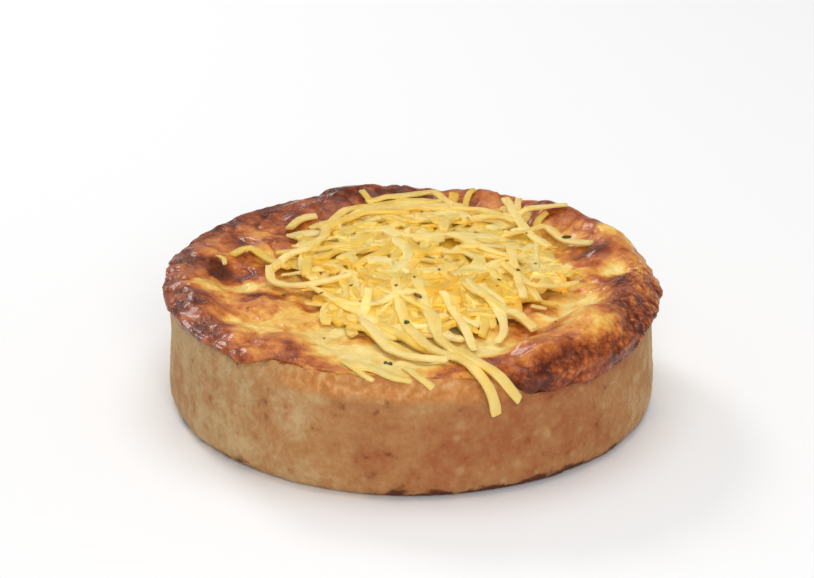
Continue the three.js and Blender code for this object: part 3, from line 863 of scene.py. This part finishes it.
class Stack:
    """Shreds dropped one by one. It keeps the height of what lies at each place, on a grid."""

    CELL = 0.6
    REACH = 62
    # Where a shred's width is looked at, from one edge to the other
    ACROSS = np.array([-0.5, -0.25, 0, 0.25, 0.5])

    def __init__(self):
        line = np.arange(-self.REACH, self.REACH, self.CELL)
        self.height = heap_floor(*np.meshgrid(line, line, indexing="ij"))

    def cells(self, x, y):
        last = len(self.height) - 1
        rows, columns = (np.rint((np.asarray(v) + self.REACH) / self.CELL).astype(int) for v in (x, y))
        return np.clip(rows, 0, last), np.clip(columns, 0, last)

    def across(self, line, width):
        """Places across a line of points, from edge to edge, as arrays (points, 5)."""
        step = unit(np.gradient(line, axis=0))
        side = self.ACROSS * width
        return line[:, :1] - step[:, 1:] * side, line[:, 1:] + step[:, :1] * side

    def rest(self, line, width, thickness):
        """Heights of the middle line of a shred that comes to rest here, bending only so much."""
        low = self.height[self.cells(*self.across(line, width))]
        height = np.quantile(low, 0.7, axis=1)
        for _ in range(3):
            ends = np.concatenate([height[:1], height, height[-1:]])
            height = np.maximum(height, (ends[:-2] + ends[2:]) / 2)
        return height + thickness / 2

    def lay(self, line, heights, width, thickness):
        """Leaves a shred on the heap, so that the next ones lie on it."""
        fine = evenly(np.column_stack([line, heights]), self.CELL * 0.7)
        cells = self.cells(*self.across(fine[:, :2], width))
        np.maximum.at(self.height, cells, np.broadcast_to(fine[:, 2:] + thickness / 2, cells[0].shape))


def fallen_line(draw):
    """The middle line of a shred that fell anywhere on the heap, seen from above."""
    centre, radii = (BED_CENTRE, BED_RADII) if draw.random() < BED_SHARE else (HEAP_CENTRE, HEAP_RADII)
    spread, around = 0.98 * math.sqrt(draw.random()), draw.uniform(0, 2 * math.pi)
    middle = np.array(centre) + np.array(radii) * spread * (math.cos(around), math.sin(around))
    length = draw.uniform(8, 21)
    heading, bend = draw.uniform(0, math.pi), draw.normal(0, 0.9)
    t = np.linspace(-0.5, 0.5, SHRED_KNOTS)
    turn = heading + bend * t + draw.normal(0, 0.35) * np.sin(2 * math.pi * t)
    steps = np.stack([np.cos(turn), np.sin(turn)], axis=1) * length / (SHRED_KNOTS - 1)
    line = np.cumsum(steps, axis=0)
    return middle + line - line.mean(axis=0)


def unit(vectors):
    return vectors / np.maximum(np.linalg.norm(vectors, axis=1, keepdims=True), 1e-9)


def facings(points, twist, lean):
    """Which way the flat side of a shred faces: up where it lies and outwards where it hangs."""
    step = unit(np.gradient(points, axis=0))
    outward = unit(points * (1, 1, 0))
    facing = np.array([0, 0, 1.0]) + outward * smooth(-step[:, 2], 0.3, 0.8)[:, None]
    side = unit(np.cross(facing, step))
    up = np.cross(step, side)
    turn = (lean + twist * np.linspace(-0.5, 0.5, len(points)))[:, None]
    return up * np.cos(turn) + side * np.sin(turn)


def shred_lines(settings):
    """All shreds as middle lines (points, 3) with their girth, facing and tone, the lowest first. The
    tone holds painted light and shade.
    """
    draw = np.random.default_rng(settings.seed)
    stack = Stack()
    width, thickness = settings.shred_width / MM, settings.shred_thickness / MM
    shreds = []

    def add(points, girth, twist, lean, tone_and_shade):
        ends = 1 + 0.05 * draw.normal(0, 1, len(points))
        ends[[0, -1]] = draw.uniform(0.7, 1, 2)
        facing = facings(points, twist, lean)
        shreds.append((points, girth * ends, facing, np.full(len(points), tone_and_shade)))

    for number in range(settings.shred_count):
        line = fallen_line(draw)
        late = number / settings.shred_count
        # At the front the heap ends at the left in an uneven line
        left = HEAP_LEFT + 13 * smooth(-line[:, 1].mean(), 12, 26) + 2.5 * math.sin(number)
        line[:, 0] += max(0, left - line[:, 0].min()) * (line[:, 1].min() < FRONT_PART)
        girth = draw.uniform(0.62, 1.22)
        if heap_reach(*line.T).max() > 1.08 and line[:, 1].max() > FRONT_PART:
            line = np.array(HEAP_CENTRE) + (line - HEAP_CENTRE) * 0.8
        heights = stack.rest(line, width * girth, thickness * girth) + draw.uniform(-0.3, 0)
        heights = np.minimum(heights, heap_roof(*line.T, late) + draw.uniform(-0.3, 0.3))
        heights = np.maximum(heights, custard_top(*line.T) + LEAST_LIFT)
        stack.lay(line, heights, width * girth, thickness * girth * 0.85)
        # The last shreds curl up more, but not those at the back
        curl = draw.uniform(0, 1) ** 3 * 1.5 * late * (line[:, 1].max() < 36)
        lifted = heights + curl * np.linspace(-1, 1, SHRED_KNOTS) ** 2 * (draw.random() < 0.5)
        twist, lean = draw.normal(0, 0.4), draw.normal(0, 0.16)
        # Cheese tone differs at random and is paler at the front. Paler on top and deeper where it is
        # piled close is painted light and shade.
        x, y = line.mean(axis=0)
        pale = 0.25 * late + 0.4 * smooth(-y, 22, 31) - 0.4 * bell(math.hypot(x - 6, y + 15) / 10)
        add(np.column_stack([line, lifted]), girth, twist, lean, draw.uniform(0.15, 0.7) + pale)
    for knotted in STANDING_OUT:
        spots = evenly(knotted, 2.6)
        line, lift = spots[:, :2], spots[:, 2]
        heights = np.minimum(stack.rest(line, width, thickness), heap_roof(*line.T, 1) + 0.5)
        heights = heights + 0.35 + 0.4 * lift
        stack.lay(line, heights, width, thickness)
        twist, girth = draw.normal(0, 0.4), draw.uniform(0.85, 1.05) * min(1, len(line) / 5)
        # These shreds on top get a paler tone: painted light
        add(np.column_stack([line, heights]), girth, twist, 0.0, draw.uniform(0.5, 0.9))
    for on_top, in_air in HANGING:
        spots = evenly(on_top, 3.0)
        line, lift = spots[:, :2], spots[:, 2]
        heights = np.minimum(stack.rest(line, width, thickness), heap_roof(*line.T, 1) + 0.5)
        heights = heights + 0.3 * lift
        stack.lay(line, heights, width, thickness)
        points = evenly(np.concatenate([np.column_stack([line, heights]), in_air]), 2.4)
        add(points, 1.1 * min(1, len(points) / 7), 0.0, 0.0, 0.7)
    return shreds, stack


def lines_object(name, shreds):
    """An object of loose middle lines, with what the shred tree reads on their points."""
    points, girth, facing, tone_and_shade = (np.concatenate(part) for part in zip(*shreds))
    starts = np.cumsum([0] + [len(shred[0]) for shred in shreds])
    edges = [(i, i + 1) for a, b in zip(starts[:-1], starts[1:]) for i in range(a, b - 1)]
    return mesh_object(name, points, edges, attributes={"girth": girth, "tone_and_shade": tone_and_shade, "facing": facing})


def settle(piece, node=None):
    """Puts a finished piece on the body and, where it has a node, hides that node's part."""
    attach(piece, BODY)
    if node:
        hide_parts(node)


def hex_property(name, default):
    return bpy.props.StringProperty(
        name=name, description=f"{name}, as an sRGB hex value", default=default
    )


def length_property(name, millimetres, description):
    return bpy.props.FloatProperty(
        name=name, description=description, default=millimetres * MM, min=0.0, unit="LENGTH", precision=5
    )


def steps_property(default):
    return bpy.props.IntProperty(
        name="Steps around", description="Steps of the mesh round the axis", default=default, min=48
    )


def power_property(name, default, description):
    return bpy.props.FloatProperty(name=name, description=description, default=default, unit="POWER")


class PastrySettings(bpy.types.PropertyGroup):
    """Sizes and colours of the pastry case."""

    turns: steps_property(560)
    dent_height: length_property("Dents", 0.22, "How far the wall's broad dents stand in and out")
    flake_depth: length_property("Cracks", 0.12, "Depth of the fine cracks of the wall")
    crumb_height: length_property("Crumb", 0.26, "How far crumbs stand out")
    pale_hex: hex_property("Pale dough", "#C9A876")
    golden_hex: hex_property("Golden dough", "#B88450")
    caramel_hex: hex_property("Caramel dough", "#A35F34")
    shoulder_hex: hex_property("Flaky shoulder", "#D08B49")
    toasted_hex: hex_property("Toasted flakes", "#BE7A3C")
    flake_hex: hex_property("Broken flakes", "#DFAA70")
    scorched_hex: hex_property("Scorched foot", "#5E2F17")


class CustardSettings(bpy.types.PropertyGroup):
    """Sizes and colours of the baked custard."""

    turns: steps_property(540)
    lump_height: length_property("Lumps", 0.7, "How far the lumps of the top stand up")
    crease_depth: length_property("Creases", 0.5, "Depth of the creases between puffs")
    grain_height: length_property("Grain", 0.32, "Height of the crusty grain")
    pit_depth: length_property("Pits", 0.16, "Depth of burst bubbles")
    cream_hex: hex_property("Cream", "#F8E398")
    yellow_hex: hex_property("Yellow", "#F6CB62")
    amber_hex: hex_property("Amber", "#ECA446")
    orange_hex: hex_property("Orange", "#CC7233")
    russet_hex: hex_property("Russet", "#A24C1A")
    brown_hex: hex_property("Brown", "#74300F")
    burnt_hex: hex_property("Burnt", "#4C1D0C")


class CheeseSettings(bpy.types.PropertyGroup):
    """Sizes and colours of the grated cheese."""

    shred_count: bpy.props.IntProperty(
        name="Shreds", description="Shreds in the heap", default=430, min=10
    )
    seed: bpy.props.IntProperty(name="Seed", description="Which fall of the shreds", default=20873)
    shred_width: length_property("Shred width", 2.35, "Width of a shred")
    shred_thickness: length_property("Shred thickness", 0.8, "Thickness of a shred")
    light_hex: hex_property("Light cheese", "#EBDA94")
    body_hex: hex_property("Cheese", "#E0BC48")
    deep_shade_hex: hex_property("Deep cheese", "#DCA420")


class StageSettings(bpy.types.PropertyGroup):
    """Floor, light and camera."""

    sky: bpy.props.FloatProperty(
        name="Sky", description="Strength of the white surroundings", default=0.36
    )
    overhead: power_property("Overhead", 4.4, "Light from above")
    front: power_property("Front", 4.6, "Light from the front")
    back: power_property("Back", 1.9, "Light from behind")
    floor_hex: hex_property("Floor", "#FFFFFF")


class QUICHE_OT_pastry(bpy.types.Operator):
    """Builds the pastry case"""

    bl_idname = "quiche.pastry"
    bl_label = "Pastry case"

    def execute(self, context):
        settings = context.scene.quiche_pastry
        piece = turned_mesh("shortcrust_case", case_rows, settings.turns, case_shades)
        sizes = {
            "Lump Size": 0.011,
            "Lump Height": settings.dent_height,
            "Crease Size": 0.016,
            "Crease Depth": settings.flake_depth,
            "Grain Size": 0.0014,
            "Grain Height": settings.crumb_height,
            "Pit Size": 0.0045,
            "Pit Depth": 0.00012,
        }
        grow(piece, baked_relief_tree, sizes, pastry_material(settings))
        settle(piece, "pastry_case")
        return {"FINISHED"}


class QUICHE_OT_custard(bpy.types.Operator):
    """Builds the custard filling with its browned top"""

    bl_idname = "quiche.custard"
    bl_label = "Custard filling"

    def execute(self, context):
        settings = context.scene.quiche_custard
        piece = turned_mesh("baked_custard", custard_rows, settings.turns, custard_shades)
        sizes = {
            "Lump Size": 0.0085,
            "Lump Height": settings.lump_height,
            "Crease Size": 0.012,
            "Crease Depth": settings.crease_depth,
            "Grain Size": 0.0019,
            "Grain Height": settings.grain_height,
            "Pit Size": 0.006,
            "Pit Depth": settings.pit_depth,
        }
        grow(piece, baked_relief_tree, sizes, custard_material(settings))
        settle(piece, "custard_filling")
        return {"FINISHED"}


class QUICHE_OT_cheese(bpy.types.Operator):
    """Builds the core of the heap, the loose shreds on it and the specks on the top"""

    bl_idname = "quiche.cheese"
    bl_label = "Grated cheese"

    def execute(self, context):
        settings = context.scene.quiche_cheese
        core = turned_mesh(
            "cheese_core", core_rows, CORE_TURNS, lambda x, y, z: {"tone_and_shade": 0.2 + 0 * x}, HEAP_CENTRE
        )
        core.data.shade_smooth()
        # The core shows only in the gaps between the shreds, so its deeper colour is painted shade
        core.data.materials.append(cheese_material(settings, "shaded_core_cheese", -0.2))
        settle(core, "grated_cheese")
        shreds, stack = shred_lines(settings)
        heap = lines_object("cheese_shreds", shreds)
        sizes = {
            "Width": settings.shred_width,
            "Thickness": settings.shred_thickness,
            "Edge Radius": 0.0003,
            "Ragged Size": 0.0016,
            "Ragged": 0.00014,
        }
        grow(heap, shred_tree, sizes, cheese_material(settings, "grated_cheese", 0.0))
        settle(heap, "grated_cheese")
        pepper = speck_material("ground_pepper", "#6B3A16", "#A8722F", 0.7)
        herb = speck_material("dried_herb", "#34360F", "#6A6628", 0.8)
        for name, specks, material in (("pepper_specks", PEPPER, pepper), ("herb_specks", HERBS, herb)):
            x, y, size = np.array(specks, float).T
            points = np.stack([x, y, stack.height[stack.cells(x, y)] + SPECK_LIFT], axis=1)
            piece = mesh_object(name, points, attributes={"speck": 1.35 * size * MM})
            grow(piece, speck_tree, {"Flatness": 0.35, "Seed": len(specks)}, material)
            settle(piece)
        return {"FINISHED"}


class QUICHE_OT_stage(bpy.types.Operator):
    """Builds the floor, the lights and the camera"""

    bl_idname = "quiche.stage"
    bl_label = "Stage"

    def execute(self, context):
        settings = context.scene.quiche_stage
        scene = context.scene
        corners = [(x * FLOOR_HALF, y * FLOOR_HALF, 0) for x, y in ((-1, -1), (1, -1), (1, 1), (-1, 1))]
        floor = mesh_object("floor", corners, faces=[(0, 1, 2, 3)])
        material, tree = start_material("pale_floor")
        end_material(tree, {"Base Color": linear(settings.floor_hex), "Roughness": 0.9})
        floor.data.materials.append(material)

        scene.world = bpy.data.worlds.new("white_room")
        scene.world.use_nodes = True
        background = scene.world.node_tree.nodes["Background"]
        background.inputs["Color"].default_value = (1, 1, 1, 1)
        background.inputs["Strength"].default_value = settings.sky

        for name, place, size, power in (
            ("overhead_light", (0.05, 0.1, 1.1), 0.9, settings.overhead),
            ("front_light", (0.1, -0.95, 0.55), 0.5, settings.front),
            ("back_light", (-0.4, 0.6, 0.6), 0.25, settings.back),
        ):
            light = bpy.data.lights.new(name, "AREA")
            light.shape = "DISK"
            light.size = size
            light.energy = power
            lamp = add_object(name, light)
            lamp.location = place
            lamp.rotation_euler = (-Vector(place)).to_track_quat("-Z", "Y").to_euler()

        tilt = math.radians(CAMERA_ELEVATION)
        back = Vector((0, -math.cos(tilt), math.sin(tilt)))
        up = Vector((0, math.sin(tilt), math.cos(tilt)))
        right = Vector((1, 0, 0))
        per_pixel = CAMERA_DISTANCE / FOCAL_PIXELS
        aim = Vector(LOOKED_AT)
        aim += right * (PHOTO_WIDTH / 2 - LOOKED_AT_PIXEL[0]) * per_pixel
        aim += up * (LOOKED_AT_PIXEL[1] - PHOTO_HEIGHT / 2) * per_pixel
        data = bpy.data.cameras.new("camera")
        data.sensor_width = SENSOR_WIDTH
        data.lens = FOCAL_PIXELS / PHOTO_WIDTH * SENSOR_WIDTH
        data.clip_start, data.clip_end = 0.01, 10
        camera = add_object("camera", data)
        camera.location = Vector(LOOKED_AT) + back * CAMERA_DISTANCE
        camera.rotation_euler = (aim - camera.location).to_track_quat("-Z", "Y").to_euler()
        scene.camera = camera
        scene.view_settings.view_transform = "Standard"
        return {"FINISHED"}


class QUICHE_PT_panel(bpy.types.Panel):
    """Sizes, colours and builders of the quiche"""

    bl_label = "Quiche"
    bl_idname = "QUICHE_PT_panel"
    bl_space_type = "VIEW_3D"
    bl_region_type = "UI"
    bl_category = "Quiche"

    def draw(self, context):
        for builder, name, group in BUILDERS:
            box = self.layout.box()
            box.operator(builder.bl_idname)
            for key in group.__annotations__:
                box.prop(getattr(context.scene, name), key)


# Each builder, the name of its settings in the scene, and their class
BUILDERS = (
    (QUICHE_OT_pastry, "quiche_pastry", PastrySettings),
    (QUICHE_OT_custard, "quiche_custard", CustardSettings),
    (QUICHE_OT_cheese, "quiche_cheese", CheeseSettings),
    (QUICHE_OT_stage, "quiche_stage", StageSettings),
)
OPERATORS, NAMES, GROUPS = zip(*BUILDERS)
CLASSES = (*GROUPS, *OPERATORS, QUICHE_PT_panel)


def register():
    for cls in CLASSES:
        bpy.utils.register_class(cls)
    for name, group in zip(NAMES, GROUPS):
        setattr(bpy.types.Scene, name, bpy.props.PointerProperty(type=group))


def unregister():
    for name in NAMES:
        delattr(bpy.types.Scene, name)
    for cls in reversed(CLASSES):
        bpy.utils.unregister_class(cls)


def main():
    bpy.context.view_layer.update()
    register()
    bpy.ops.quiche.pastry()
    bpy.ops.quiche.custard()
    bpy.ops.quiche.cheese()
    bpy.ops.quiche.stage()


if __name__ == "__main__":
    main()
